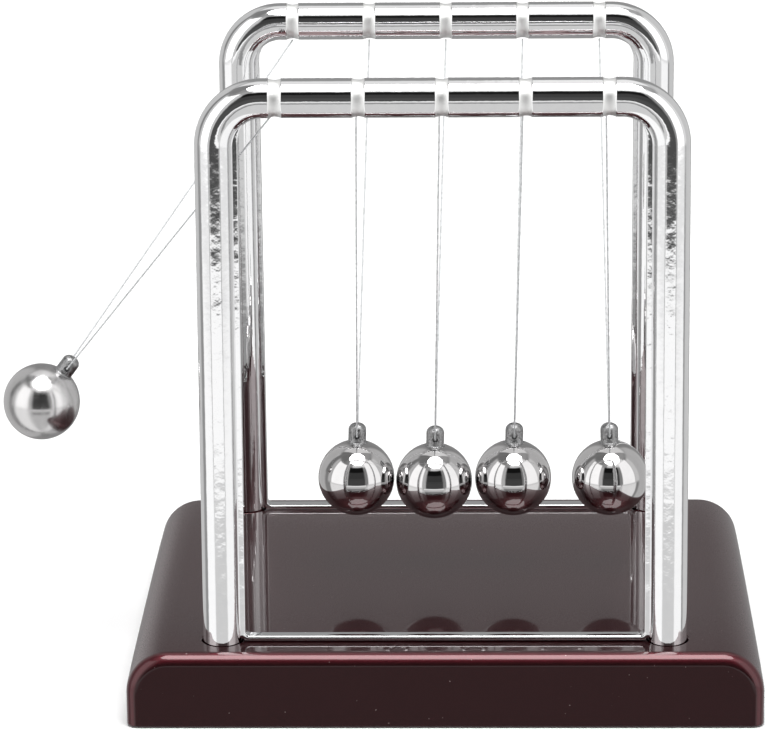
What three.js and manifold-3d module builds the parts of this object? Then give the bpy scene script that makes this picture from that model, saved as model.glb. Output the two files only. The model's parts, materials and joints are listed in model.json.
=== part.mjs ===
// Newton's cradle: five steel balls hang on V-shaped strings between two bent frames on a glossy base.
// Millimetres, +Z up, +X to the right, -Y to the front. The origin is the middle of the underside.

import * as THREE from 'three';
import { mergeVertices } from 'three/addons/utils/BufferGeometryUtils.js';
import Module from 'manifold-3d';

const wasm = await Module();
wasm.setup();

// ---- Driving dimensions ----

const GAP = 0.3; // clearance kept between pieces that touch

// Base
const BASE_WIDTH = 140;
const BASE_DEPTH = 115;
const BASE_TOP = 17.3;
const BASE_RIM_Z = 0.5; // lower rim of the shell, just above the surface it stands on
const BASE_WALL = 2.4;
const BASE_SHOULDER = 9.4; // radius of the rounded left and right top edges
const BASE_EDGE = 2.6; // radius of the front and rear edges
const PAD_THICKNESS = 1.0;
const PLATE_LOW = PAD_THICKNESS + GAP;
const PLATE_HIGH = 3.8;

// Frames
const TUBE_RADIUS = 4.3;
const LEG_X = 49.05; // leg axis, left and right of the middle
const FRAME_Y = 47.85; // leg axis at the base top, in front of and behind the middle
const FRAME_LEAN = THREE.MathUtils.degToRad(2.3); // each frame leans in towards the other
const BAR_HEIGHT = 120.9; // bar axis above the base top, measured in the frame's plane
const BEND_RADIUS = 10.3;
const LEG_DEPTH = 9.5; // leg below the base top
const RIB_STAND = 0.8; // rib beyond the leg, on its inner side
const RIB_WIDTH = 3.2; // flat rib and rail, from front to rear
const RAIL_LOW = 0.36; // rail that joins the feet, clear of the base although it leans
const RAIL_HIGH = 1.2;
const GROOVE_DEPTH = 0.35;
const GROOVE_WIDTH = 2.9;

// Balls and strings
const BALL_COUNT = 5;
const BALL_PITCH = 17.89;
const BALL_RADIUS = 8.75;
const STRING_RADIUS = 0.2;
const HANG_LENGTHS = [94.8, 94.2, 95.0, 94.3, 94.3]; // pivot axis to ball centre
const SWING_ANGLES = [-36.9, -1.7, -1.7, -1.55, 1.1]; // degrees from hanging, positive to the right
const EYELET_RADIUS = 2.05;
const EYELET_TOP = 13.1; // above the ball centre
const EYELET_HOLE_Z = 10.3; // string hole above the ball centre
const EYELET_HOLE_RADIUS = 0.6;

// Fasteners and plugs
const LEG_SCREW_RADIUS = 1.5;
const LEG_SCREW_HEAD = 3.1;
const LEG_SCREW_BITE = 6;
const PLATE_SCREW_RADIUS = 1.1;
const PLATE_SCREW_HEAD = 2.8;
const PLUG_RADIUS = 0.6;
const PLUG_LENGTH = 2;

// ---- Values that follow from them ----

const SOCKET_FLOOR = BASE_TOP - LEG_DEPTH - GAP;
const BOSS_LOW = SOCKET_FLOOR - 1.6;
const BAR_Y = FRAME_Y - BAR_HEIGHT * Math.sin(FRAME_LEAN);
const BAR_Z = BASE_TOP + BAR_HEIGHT * Math.cos(FRAME_LEAN);
const GROOVE_FLOOR = TUBE_RADIUS - GROOVE_DEPTH;
const PIVOT_STAND = GROOVE_FLOOR + STRING_RADIUS + GAP; // string end from the bar's axis
const STRING_SLOPE = stringSlope();
const PIVOT_Y = BAR_Y - PIVOT_STAND * Math.sin(STRING_SLOPE);
const PIVOT_Z = BAR_Z - PIVOT_STAND * Math.cos(STRING_SLOPE);

/** Angle between a string and the vertical, for the middle hang length. */
function stringSlope() {
  const across = BAR_Y - EYELET_RADIUS - STRING_RADIUS - GAP;
  const down = HANG_LENGTHS[3] - EYELET_HOLE_Z + PIVOT_STAND;
  return Math.atan2(across, down);
}

function ballX(index) {
  return (index - (BALL_COUNT - 1) / 2) * BALL_PITCH;
}

// ---- Materials ----

const finishes = {
  base: { color: 0x2a1c20, roughness: 0.12, metalness: 0.0 },
  plate: { color: 0x1c1a1b, roughness: 0.7, metalness: 0.0 },
  pad: { color: 0x151515, roughness: 0.95, metalness: 0.0 },
  chrome: { color: 0xd8dadc, roughness: 0.08, metalness: 1.0 },
  steel: { color: 0xc9cbcd, roughness: 0.05, metalness: 1.0 },
  eyelet: { color: 0xa9abad, roughness: 0.35, metalness: 1.0 },
  nylon: { color: 0xdfe3e4, roughness: 0.3, metalness: 0.0 },
  screw: { color: 0x8d9093, roughness: 0.4, metalness: 1.0 },
};

function piece(name, geometry, finish) {
  const mesh = new THREE.Mesh(geometry, new THREE.MeshStandardMaterial(finishes[finish]));
  mesh.name = name;
  return mesh;
}

// ---- Solid helpers ----

function toSolid(geometry) {
  const bare = geometry.clone();
  bare.deleteAttribute('normal');
  bare.deleteAttribute('uv');
  const merged = mergeVertices(bare, 1e-4);
  const vertProperties = new Float32Array(merged.attributes.position.array);
  const triVerts = new Uint32Array(merged.index.array);
  return new wasm.Manifold(new wasm.Mesh({ numProp: 3, vertProperties, triVerts }));
}

function toGeometry(solid) {
  const mesh = solid.getMesh();
  const geometry = new THREE.BufferGeometry();
  geometry.setAttribute('position', new THREE.BufferAttribute(mesh.vertProperties, mesh.numProp));
  geometry.setIndex(new THREE.BufferAttribute(mesh.triVerts, 1));
  geometry.computeVertexNormals();
  return geometry;
}

/** A cylinder that stands along Z between two heights. */
function post(radius, low, high, sides = 24) {
  const geometry = new THREE.CylinderGeometry(radius, radius, high - low, sides);
  geometry.rotateX(Math.PI / 2);
  return geometry.translate(0, 0, (low + high) / 2);
}

function block(width, depth, low, high) {
  const geometry = new THREE.BoxGeometry(width, depth, high - low);
  return geometry.translate(0, 0, (low + high) / 2);
}

/** A profile of [radius, height] points turned about Z. It starts and ends on the axis. */
function turned(profile, sides) {
  const geometry = new THREE.LatheGeometry(profile.map(([r, z]) => new THREE.Vector2(r, z)), sides);
  return geometry.rotateX(Math.PI / 2);
}

/** A path that an extrusion follows from station to station, so a straight run costs one step. */
class StationPath extends THREE.Curve {
  constructor(stations) {
    super();
    this.stations = stations;
  }

  getPointAt(share) {
    return this.stations[this.nearest(share)].clone();
  }

  getTangentAt(share) {
    const here = this.nearest(share);
    const last = this.stations.length - 1;
    const tangent = new THREE.Vector3();
    if (here > 0) tangent.add(this.direction(here - 1));
    if (here < last) tangent.add(this.direction(here));
    return tangent.normalize();
  }

  direction(start) {
    return this.stations[start + 1].clone().sub(this.stations[start]).normalize();
  }

  nearest(share) {
    return Math.round(share * (this.stations.length - 1));
  }
}

/** A round bar of the given radius through the stations. */
function roundBar(stations, radius, sides) {
  const section = new THREE.Shape();
  for (let side = 0; side < sides; side += 1) {
    const angle = (side / sides) * 2 * Math.PI;
    const x = radius * Math.cos(angle);
    const y = radius * Math.sin(angle);
    if (side === 0) section.moveTo(x, y);
    else section.lineTo(x, y);
  }
  return new THREE.ExtrudeGeometry(section, {
    steps: stations.length - 1,
    extrudePath: new StationPath(stations),
    curveSegments: sides,
    bevelEnabled: false,
  });
}

// ---- Places shared by several pieces ----

/** The group that carries one frame: side -1 is the front, +1 the rear. */
function leaningGroup(side) {
  const group = new THREE.Group();
  group.position.set(0, side * FRAME_Y, BASE_TOP);
  group.rotation.x = side * FRAME_LEAN;
  return group;
}

/** A geometry given in a frame's own place, moved to where that frame stands. */
function leaning(geometry, side) {
  const group = leaningGroup(side);
  group.updateMatrix();
  return geometry.applyMatrix4(group.matrix);
}

function legPlaces() {
  const places = [];
  for (const side of [-1, 1]) {
    for (const hand of [-1, 1]) places.push({ side, hand });
  }
  return places;
}

const PLATE_SCREW_X = BASE_WIDTH / 2 - 25;
const PLATE_SCREW_Y = BASE_DEPTH / 2 - 32;

// ---- Base ----

/** Front view of the base: flat below, rounded at both shoulders. */
function baseOutline(inset, low) {
  const half = BASE_WIDTH / 2 - inset;
  const top = BASE_TOP - inset;
  const radius = BASE_SHOULDER - inset;
  const outline = new THREE.Shape();
  outline.moveTo(-half, low);
  outline.lineTo(half, low);
  outline.lineTo(half, top - radius);
  outline.absarc(half - radius, top - radius, radius, 0, Math.PI / 2, false);
  outline.lineTo(-half + radius, top);
  outline.absarc(-half + radius, top - radius, radius, Math.PI / 2, Math.PI, false);
  outline.closePath();
  return outline;
}

/** The base outline run from front to rear, with its end edges rounded by the given radius. */
function baseBody(inset, low, edge) {
  const depth = BASE_DEPTH - 2 * inset;
  const geometry = new THREE.ExtrudeGeometry(baseOutline(inset, low), {
    depth: depth - 2 * edge,
    curveSegments: 8,
    bevelEnabled: edge > 0,
    bevelThickness: edge,
    bevelSize: edge,
    bevelOffset: -edge,
    bevelSegments: 4,
  });
  geometry.translate(0, 0, edge - depth / 2);
  return geometry.rotateX(Math.PI / 2);
}

function legSocket({ side, hand }) {
  const socket = post(TUBE_RADIUS + GAP, -LEG_DEPTH - GAP, BASE_TOP);
  return leaning(socket.translate(hand * LEG_X, 0, 0), side);
}

function legScrewHole({ side, hand }) {
  const hole = post(LEG_SCREW_RADIUS + GAP, -BASE_TOP, 0);
  return leaning(hole.translate(hand * LEG_X, 0, 0), side);
}

function baseShell() {
  let shell = toSolid(baseBody(0, -10, BASE_EDGE));
  shell = shell.intersect(toSolid(block(BASE_WIDTH + 10, BASE_DEPTH + 10, BASE_RIM_Z, BASE_TOP + 10)));
  shell = shell.subtract(toSolid(baseBody(BASE_WALL, -10, 0)));
  const roof = BASE_TOP - BASE_WALL / 2;
  for (const place of legPlaces()) {
    const boss = post(TUBE_RADIUS + 2.6, BOSS_LOW, roof);
    boss.translate(place.hand * LEG_X, place.side * (FRAME_Y + 0.2), 0);
    shell = shell.add(toSolid(boss));
  }
  for (const { side, hand } of legPlaces()) {
    const pillar = post(3.4, PLATE_HIGH + GAP, roof, 16);
    const pilot = post(PLATE_SCREW_RADIUS + GAP, PLATE_HIGH, BASE_TOP - 5, 16);
    pillar.translate(hand * PLATE_SCREW_X, side * PLATE_SCREW_Y, 0);
    pilot.translate(hand * PLATE_SCREW_X, side * PLATE_SCREW_Y, 0);
    shell = shell.add(toSolid(pillar)).subtract(toSolid(pilot));
  }
  for (const place of legPlaces()) {
    shell = shell.subtract(toSolid(legSocket(place)));
    shell = shell.subtract(toSolid(legScrewHole(place)));
  }
  return piece('base_shell', toGeometry(shell), 'base');
}

function basePlate() {
  const width = BASE_WIDTH - 2 * (BASE_WALL + GAP);
  const depth = BASE_DEPTH - 2 * (BASE_WALL + GAP);
  let plate = toSolid(block(width, depth, PLATE_LOW, PLATE_HIGH));
  for (const { side, hand } of legPlaces()) {
    const x = hand * PLATE_SCREW_X;
    const y = side * PLATE_SCREW_Y;
    const hole = post(PLATE_SCREW_RADIUS + GAP, 0, BASE_TOP, 16);
    const recess = post(PLATE_SCREW_HEAD + GAP, 0, PLATE_LOW + 1.3, 20);
    plate = plate.subtract(toSolid(hole.translate(x, y, 0)));
    plate = plate.subtract(toSolid(recess.translate(x, y, 0)));
  }
  return piece('base_plate', toGeometry(plate), 'plate');
}

function undersidePad() {
  const width = BASE_WIDTH - 2 * (BASE_WALL + GAP);
  const depth = BASE_DEPTH - 2 * (BASE_WALL + GAP);
  return piece('underside_pad', block(width, depth, 0, PAD_THICKNESS), 'pad');
}

function plateScrews() {
  return legPlaces().map(({ side, hand }, index) => {
    const low = PLATE_LOW + 0.2;
    const profile = [
      [0, low],
      [PLATE_SCREW_HEAD, low],
      [PLATE_SCREW_HEAD, low + 0.8],
      [PLATE_SCREW_RADIUS, low + 0.8],
      [PLATE_SCREW_RADIUS, low + 8.5],
      [0, low + 9],
    ];
    const screw = piece(`plate_screw_${index + 1}`, turned(profile, 16), 'screw');
    screw.position.set(hand * PLATE_SCREW_X, side * PLATE_SCREW_Y, 0);
    return screw;
  });
}

// ---- Frames ----

/** Stations up one leg, round both bends and down the other leg, in the frame's plane. */
function frameStations() {
  const stations = [new THREE.Vector3(-LEG_X, 0, -LEG_DEPTH)];
  const bendSteps = 8;
  for (const hand of [-1, 1]) {
    const centre = new THREE.Vector3(hand * (LEG_X - BEND_RADIUS), 0, BAR_HEIGHT - BEND_RADIUS);
    for (let step = 0; step <= bendSteps; step += 1) {
      const turn = ((step / bendSteps) * Math.PI) / 2;
      const angle = hand < 0 ? Math.PI - turn : Math.PI / 2 - turn;
      const offset = new THREE.Vector3(Math.cos(angle), 0, Math.sin(angle));
      stations.push(centre.clone().addScaledVector(offset, BEND_RADIUS));
    }
  }
  stations.push(new THREE.Vector3(LEG_X, 0, -LEG_DEPTH));
  return stations;
}

function roundedRectangle(path, half, low, high, lowRadius, highRadius) {
  path.moveTo(-half + lowRadius, low);
  path.lineTo(half - lowRadius, low);
  path.absarc(half - lowRadius, low + lowRadius, lowRadius, -Math.PI / 2, 0, false);
  path.lineTo(half, high - highRadius);
  path.absarc(half - highRadius, high - highRadius, highRadius, 0, Math.PI / 2, false);
  path.lineTo(-half + highRadius, high);
  path.absarc(-half + highRadius, high - highRadius, highRadius, Math.PI / 2, Math.PI, false);
  path.lineTo(-half, low + lowRadius);
  path.absarc(-half + lowRadius, low + lowRadius, lowRadius, Math.PI, 1.5 * Math.PI, false);
  return path;
}

/** The flat strip inside the frame: a rib on each leg and the rail that lies on the base. */
function ribAndRail() {
  const outer = roundedRectangle(new THREE.Shape(), LEG_X, RAIL_LOW, BAR_HEIGHT, 0.5, BEND_RADIUS);
  const innerHalf = LEG_X - TUBE_RADIUS - RIB_STAND;
  const innerHigh = BAR_HEIGHT - TUBE_RADIUS / 2;
  outer.holes.push(roundedRectangle(new THREE.Path(), innerHalf, RAIL_HIGH, innerHigh, 1.5, 7.5));
  const web = new THREE.ExtrudeGeometry(outer, {
    depth: RIB_WIDTH,
    curveSegments: 5,
    bevelEnabled: false,
  });
  web.translate(0, 0, -RIB_WIDTH / 2);
  return web.rotateX(Math.PI / 2);
}

/** A ring that cuts one shallow, rounded groove around the bar. */
function grooveCutter(index) {
  const halfWidth = GROOVE_WIDTH / 2;
  const curve = (halfWidth ** 2 + GROOVE_DEPTH ** 2) / (2 * GROOVE_DEPTH);
  const ring = new THREE.TorusGeometry(GROOVE_FLOOR + curve, curve, 24, 20);
  ring.rotateY(Math.PI / 2);
  return ring.translate(ballX(index), 0, BAR_HEIGHT);
}

/** Direction of a hanging string as seen in the leaning frame, from the bar towards the ball. */
function stringDirection(side) {
  const angle = STRING_SLOPE + FRAME_LEAN;
  return new THREE.Vector3(0, -side * Math.sin(angle), -Math.cos(angle));
}

/** A cylinder about the string's line, between two distances from the bar's axis. */
function alongString(side, index, radius, near, far, sides) {
  const geometry = post(radius, near, far, sides);
  const turn = new THREE.Quaternion();
  turn.setFromUnitVectors(new THREE.Vector3(0, 0, 1), stringDirection(side));
  geometry.applyQuaternion(turn);
  return geometry.translate(ballX(index), 0, BAR_HEIGHT);
}

function frame(name, side) {
  let solid = toSolid(roundBar(frameStations(), TUBE_RADIUS, 18)).add(toSolid(ribAndRail()));
  for (let index = 0; index < BALL_COUNT; index += 1) {
    const plugHole = alongString(side, index, PLUG_RADIUS + GAP, plugInner() - GAP, TUBE_RADIUS + 1, 10);
    solid = solid.subtract(toSolid(grooveCutter(index))).subtract(toSolid(plugHole));
  }
  for (const hand of [-1, 1]) {
    const pilot = post(LEG_SCREW_RADIUS + GAP, -LEG_DEPTH - 1, -LEG_DEPTH + LEG_SCREW_BITE + GAP, 16);
    solid = solid.subtract(toSolid(pilot.translate(hand * LEG_X, 0, 0)));
  }
  return piece(name, toGeometry(solid), 'chrome');
}

/** Distance from the bar's axis to a plug's hidden end. */
function plugInner() {
  return GROOVE_FLOOR - 0.1 - PLUG_LENGTH;
}

function stringPlugs(label, side) {
  const plugs = [];
  for (let index = 0; index < BALL_COUNT; index += 1) {
    const inner = plugInner();
    const geometry = alongString(side, index, PLUG_RADIUS, inner, inner + PLUG_LENGTH, 10);
    plugs.push(piece(`${label}_string_plug_${index + 1}`, geometry, 'nylon'));
  }
  return plugs;
}

function legScrew(name, hand) {
  const seat = BOSS_LOW - BASE_TOP - GAP;
  const profile = [
    [0, seat - 1.4],
    [LEG_SCREW_HEAD, seat - 1.4],
    [LEG_SCREW_HEAD, seat - 0.4],
    [LEG_SCREW_HEAD - 0.5, seat],
    [LEG_SCREW_RADIUS, seat],
    [LEG_SCREW_RADIUS, LEG_SCREW_BITE - LEG_DEPTH - 0.6],
    [0, LEG_SCREW_BITE - LEG_DEPTH],
  ];
  const screw = piece(name, turned(profile, 16), 'screw');
  screw.position.x = hand * LEG_X;
  return screw;
}

function frameAssembly(label, side) {
  const group = leaningGroup(side);
  group.add(frame(`${label}_frame`, side));
  group.add(...stringPlugs(label, side));
  group.add(legScrew(`${label}_left_leg_screw`, -1));
  group.add(legScrew(`${label}_right_leg_screw`, 1));
  return group;
}

// ---- Balls ----

function ball(index) {
  const sphere = new THREE.SphereGeometry(BALL_RADIUS, 22, 14);
  sphere.rotateX(Math.PI / 2);
  const hole = post(1.2 + GAP, BALL_RADIUS - 3.2, BALL_RADIUS + 1, 14);
  const solid = toSolid(sphere).subtract(toSolid(hole));
  return piece(`ball_${index + 1}`, toGeometry(solid), 'steel');
}

/** A domed lug on a short stud, with its underside shaped to the ball and a hole from front to rear. */
function eyelet(index) {
  const seat = (radius) => Math.sqrt((BALL_RADIUS + GAP) ** 2 - radius ** 2);
  const studRadius = 1.2;
  const footRadius = EYELET_RADIUS + 0.25;
  const profile = [
    [0, BALL_RADIUS - 2.9],
    [studRadius, BALL_RADIUS - 2.9],
    [studRadius, seat(studRadius)],
    [footRadius, seat(footRadius)],
    [EYELET_RADIUS, seat(footRadius) + 0.7],
    [EYELET_RADIUS, EYELET_TOP - 1.6],
    [EYELET_RADIUS * 0.86, EYELET_TOP - 0.8],
    [EYELET_RADIUS * 0.5, EYELET_TOP - 0.2],
    [0, EYELET_TOP],
  ];
  const hole = new THREE.CylinderGeometry(EYELET_HOLE_RADIUS, EYELET_HOLE_RADIUS, 8, 12);
  const solid = toSolid(turned(profile, 16)).subtract(toSolid(hole.translate(0, 0, EYELET_HOLE_Z)));
  return piece(`eyelet_${index + 1}`, toGeometry(solid), 'eyelet');
}

/** Stations of one string: down from the front bar, through the eyelet and up to the rear bar. */
function stringStations(hang) {
  const holeZ = EYELET_HOLE_Z - hang;
  const mouth = new THREE.Vector3(0, -(EYELET_RADIUS + STRING_RADIUS + GAP), holeZ);
  const pivot = new THREE.Vector3(0, -PIVOT_Y, 0);
  const inside = new THREE.Vector3(0, -EYELET_RADIUS + 0.2, holeZ);
  const above = mouth.clone().add(pivot.clone().sub(mouth).setLength(0.7));
  const turn = new THREE.QuadraticBezierCurve3(above, mouth, inside);
  const half = [pivot, ...turn.getPoints(4)];
  const mirrored = half.map((point) => new THREE.Vector3(0, -point.y, point.z)).reverse();
  return [...half, ...mirrored];
}

function string(index) {
  const geometry = roundBar(stringStations(HANG_LENGTHS[index]), STRING_RADIUS, 8);
  return piece(`string_${index + 1}`, geometry, 'nylon');
}

/** One ball with its eyelet and string, turned about the line through its two anchors. */
function hangingBall(index) {
  const pivot = new THREE.Group();
  pivot.position.set(ballX(index), 0, PIVOT_Z);
  pivot.rotation.y = -THREE.MathUtils.degToRad(SWING_ANGLES[index]);
  const weight = new THREE.Group();
  weight.position.z = -HANG_LENGTHS[index];
  weight.add(ball(index), eyelet(index));
  pivot.add(weight, string(index));
  return pivot;
}

// ---- Assembly ----

const cradle = new THREE.Group();
cradle.add(baseShell(), basePlate(), undersidePad(), ...plateScrews());
cradle.add(frameAssembly('front', -1), frameAssembly('rear', 1));
for (let index = 0; index < BALL_COUNT; index += 1) cradle.add(hangingBall(index));

export default cradle;
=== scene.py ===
"""A newton's cradle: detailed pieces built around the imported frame, in metres."""

import json
import math

import bmesh
import bpy
from mathutils import Matrix, Vector


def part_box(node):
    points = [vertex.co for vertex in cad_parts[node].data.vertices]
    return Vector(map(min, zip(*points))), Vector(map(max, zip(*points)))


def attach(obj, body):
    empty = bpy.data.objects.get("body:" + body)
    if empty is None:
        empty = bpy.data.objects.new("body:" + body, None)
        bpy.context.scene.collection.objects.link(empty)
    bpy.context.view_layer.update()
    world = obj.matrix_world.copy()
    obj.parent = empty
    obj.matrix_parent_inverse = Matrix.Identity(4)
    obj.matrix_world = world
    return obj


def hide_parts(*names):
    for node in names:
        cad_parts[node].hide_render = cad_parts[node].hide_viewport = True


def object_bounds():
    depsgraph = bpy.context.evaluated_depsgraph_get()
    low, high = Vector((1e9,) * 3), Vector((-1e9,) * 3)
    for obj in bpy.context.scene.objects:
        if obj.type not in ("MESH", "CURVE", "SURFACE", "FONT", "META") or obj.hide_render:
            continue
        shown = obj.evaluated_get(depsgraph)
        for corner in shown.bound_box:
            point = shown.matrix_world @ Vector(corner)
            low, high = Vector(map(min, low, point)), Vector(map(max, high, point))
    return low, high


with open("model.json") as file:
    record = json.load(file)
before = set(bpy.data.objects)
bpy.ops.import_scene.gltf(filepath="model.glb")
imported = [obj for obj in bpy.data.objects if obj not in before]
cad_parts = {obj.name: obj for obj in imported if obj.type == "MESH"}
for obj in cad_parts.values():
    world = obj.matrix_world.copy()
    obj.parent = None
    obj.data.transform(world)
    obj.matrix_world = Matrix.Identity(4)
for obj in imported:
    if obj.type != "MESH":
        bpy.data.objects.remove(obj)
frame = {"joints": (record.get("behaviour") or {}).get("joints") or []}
cad_low, cad_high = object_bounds()

MM = 0.001

# ---- Sizes, in metres ----

# Base
SHELL_LOW, SHELL_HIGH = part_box("base_shell")
BASE_TOP = SHELL_HIGH.z
BASE_SHOULDER = 9.4 * MM
BASE_EDGE = 2.6 * MM
BASE_WALL = 2.4 * MM
BASE_CROWN = 0.42 * MM
CROWN_STEPS = 20
SOCKET_GAP = 0.35 * MM
SOCKET_LIP = 0.3 * MM
PILLAR_RADIUS = 3.4 * MM
PLATE_SCREW_HOLE = 1.3 * MM
LEG_SCREW_HOLE = 1.8 * MM
HOLE_TOP = BASE_TOP - 5 * MM

# Frames
TUBE_RADIUS = 4.3 * MM
LEG_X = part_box("front_frame")[1].x - TUBE_RADIUS
FRAME_Y = 47.85 * MM
FRAME_LEAN = math.radians(2.3)
BAR_HEIGHT = 120.9 * MM
BEND_RADIUS = 10.3 * MM
LEG_DEPTH = 9.5 * MM
FOOT_CHAMFER = 0.4 * MM
RIB_STAND = 0.8 * MM
RIB_WIDTH = 3.2 * MM
RIB_SINK = 0.9 * MM
RAIL_LOW = 0.2 * MM
RAIL_HIGH = 1.2 * MM
RIB_FOOT_RADIUS = 1.0 * MM
RIB_HEAD_RADIUS = 7.5 * MM
GROOVE_DEPTH = 0.35 * MM
GROOVE_WIDTH = 2.9 * MM
TUBE_SIDES = 72

# Screws, and the bosses under the frames' feet
PLATE_SCREWS = [f"plate_screw_{number + 1}" for number in range(4)]
LEGS = ["front_left", "front_right", "rear_left", "rear_right"]
LEG_SCREWS = [f"{leg}_leg_screw" for leg in LEGS]
BOSS_RADIUS = TUBE_RADIUS + 2.6 * MM
BOSS_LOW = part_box("front_left_leg_screw")[0].z + 1.6 * MM

# Balls, eyelets and strings
BALL_RADIUS = 8.75 * MM
BALL_STUD_HOLE = 1.25 * MM
STRING_RADIUS = 0.2 * MM
STRING_GAP = 0.3 * MM
STRING_END_REACH = 0.18 * MM
FRONT_SHIFT = -0.6 * MM
HANG_LENGTHS = [94.8 * MM, 94.2 * MM, 95.0 * MM, 94.3 * MM, 94.3 * MM]
SWING_ANGLES = [math.radians(a) for a in (-36.9, -1.7, -1.7, -1.55, 1.1)]
PIVOTS = [Vector(joint["pos_m"]) for joint in frame["joints"]]
EYELET_RADIUS = 2.05 * MM
EYELET_TOP = 13.1 * MM
EYELET_HOLE_Z = 10.3 * MM
EYELET_HOLE_RADIUS = 0.6 * MM
EYELET_DOME = 1.6 * MM
EYELET_FILLET = 0.35 * MM

# Plugs in the bars
PLUG_RADIUS = 0.6 * MM
PLUG_HALF_LENGTH = 1.0 * MM
PLUG_ROUNDING = 0.2 * MM

# Floor
FLOOR_HALF = 8.0
FLOOR_GAP = 0.05 * MM

# ---- Camera ----

CAMERA_PLACE = Vector((10.5 * MM, -921.5 * MM, 325.1 * MM))
CAMERA_TURN = math.radians(-1.55)
CAMERA_DOWN = math.radians(15.66)
CAMERA_ROLL = math.radians(-0.57)
SENSOR_WIDTH = 36.0
LENS = 197.3


def make_camera():
    """A long lens from the front, a little above the bars, turned slightly to the left."""
    data = bpy.data.cameras.new("camera")
    data.sensor_width = SENSOR_WIDTH
    data.lens = LENS
    data.clip_start = 0.01
    data.clip_end = 50
    camera = bpy.data.objects.new("camera", data)
    bpy.context.scene.collection.objects.link(camera)
    level = Matrix.Rotation(math.pi / 2 - CAMERA_DOWN, 4, "X")
    turn = Matrix.Rotation(-CAMERA_TURN, 4, "Z")
    roll = Matrix.Rotation(CAMERA_ROLL, 4, "Z")
    camera.matrix_world = Matrix.Translation(CAMERA_PLACE) @ turn @ level @ roll
    bpy.context.scene.camera = camera


# ---- Node helpers ----


class Nodes:
    """A short way to write a node tree."""

    def __init__(self, tree):
        self.tree = tree

    def add(self, kind, **settings):
        node = self.tree.nodes.new(kind)
        for name, value in settings.items():
            setattr(node, name, value)
        return node

    def feed(self, socket, value):
        if isinstance(value, bpy.types.NodeSocket):
            self.tree.links.new(value, socket)
        else:
            socket.default_value = value

    def math(self, operation, first, second=0.0, clamp=False):
        node = self.add("ShaderNodeMath", operation=operation, use_clamp=clamp)
        self.feed(node.inputs[0], first)
        self.feed(node.inputs[1], second)
        return node.outputs[0]

    def dot(self, vector, direction):
        node = self.add("ShaderNodeVectorMath", operation="DOT_PRODUCT")
        self.feed(node.inputs[0], vector)
        node.inputs[1].default_value = direction
        return node.outputs["Value"]

    def step(self, value, low, high, to_low=0.0, to_high=1.0):
        """A soft step from to_low, where value is low, to to_high, where it is high."""
        node = self.add("ShaderNodeMapRange", interpolation_type="SMOOTHSTEP")
        self.feed(node.inputs["Value"], value)
        for name, number in (
            ("From Min", low),
            ("From Max", high),
            ("To Min", to_low),
            ("To Max", to_high),
        ):
            node.inputs[name].default_value = number
        return node.outputs["Result"]

    def noise(self, scale, detail=3.0, vector=None, roughness=0.5):
        node = self.add("ShaderNodeTexNoise")
        node.inputs["Scale"].default_value = scale
        node.inputs["Detail"].default_value = detail
        node.inputs["Roughness"].default_value = roughness
        if vector is not None:
            self.tree.links.new(vector, node.inputs["Vector"])
        return node.outputs["Fac"]

    def object_place(self, stretch=(1.0, 1.0, 1.0)):
        place = self.add("ShaderNodeTexCoord").outputs["Object"]
        if stretch == (1.0, 1.0, 1.0):
            return place
        mapping = self.add("ShaderNodeMapping")
        mapping.inputs["Scale"].default_value = stretch
        self.tree.links.new(place, mapping.inputs["Vector"])
        return mapping.outputs["Vector"]

    def blend(self, factor, first, second):
        """A colour between two, by factor. Each is a socket or red, green and blue."""
        node = self.add("ShaderNodeMix", data_type="RGBA")
        self.feed(node.inputs["Factor"], factor)
        for name, colour in (("A", first), ("B", second)):
            self.feed(node.inputs[name], (*colour, 1.0) if isinstance(colour, tuple) else colour)
        return node.outputs["Result"]

    def bump(self, height, strength, distance):
        node = self.add("ShaderNodeBump")
        node.inputs["Strength"].default_value = strength
        node.inputs["Distance"].default_value = distance
        self.tree.links.new(height, node.inputs["Height"])
        return node.outputs["Normal"]


def new_material(name):
    """A material with a Principled shader, its node helper and the shader."""
    material = bpy.data.materials.new(name)
    material.use_nodes = True
    shader = material.node_tree.nodes["Principled BSDF"]
    return material, Nodes(material.node_tree), shader


# ---- Studio ----

KEY_TURN = math.radians(12)
KEY_ELEVATION = math.radians(73)
KEY_HALF = math.tan(math.radians(20))
KEY_BRIGHTNESS = 8.0
BACKDROP_BRIGHTNESS = 0.95


def key_light_mask(nodes, direction):
    """A soft-edged octagon overhead, a little in front of the object."""
    flat = (math.sin(KEY_TURN), -math.cos(KEY_TURN))
    low, high = math.cos(KEY_ELEVATION), math.sin(KEY_ELEVATION)
    toward = (flat[0] * low, flat[1] * low, high)
    up = (-flat[0] * high, -flat[1] * high, low)
    side = (-flat[1], flat[0], 0.0)
    ahead = nodes.math("MAXIMUM", nodes.dot(direction, toward), 0.01)
    across = nodes.math("DIVIDE", nodes.dot(direction, side), ahead)
    along = nodes.math("DIVIDE", nodes.dot(direction, up), ahead)
    reach = nodes.math("MAXIMUM", nodes.math("ABSOLUTE", along), nodes.math("ABSOLUTE", across))
    for hand in (-1, 1):
        slanted = nodes.math("ADD", nodes.math("MULTIPLY", across, hand), along)
        slanted = nodes.math("MULTIPLY", nodes.math("ABSOLUTE", slanted), math.sqrt(0.5))
        reach = nodes.math("MAXIMUM", reach, slanted)
    return nodes.step(reach, KEY_HALF * 0.97, KEY_HALF * 1.03, 1.0, 0.0)


ROOM_LEVEL = 0.31

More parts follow.
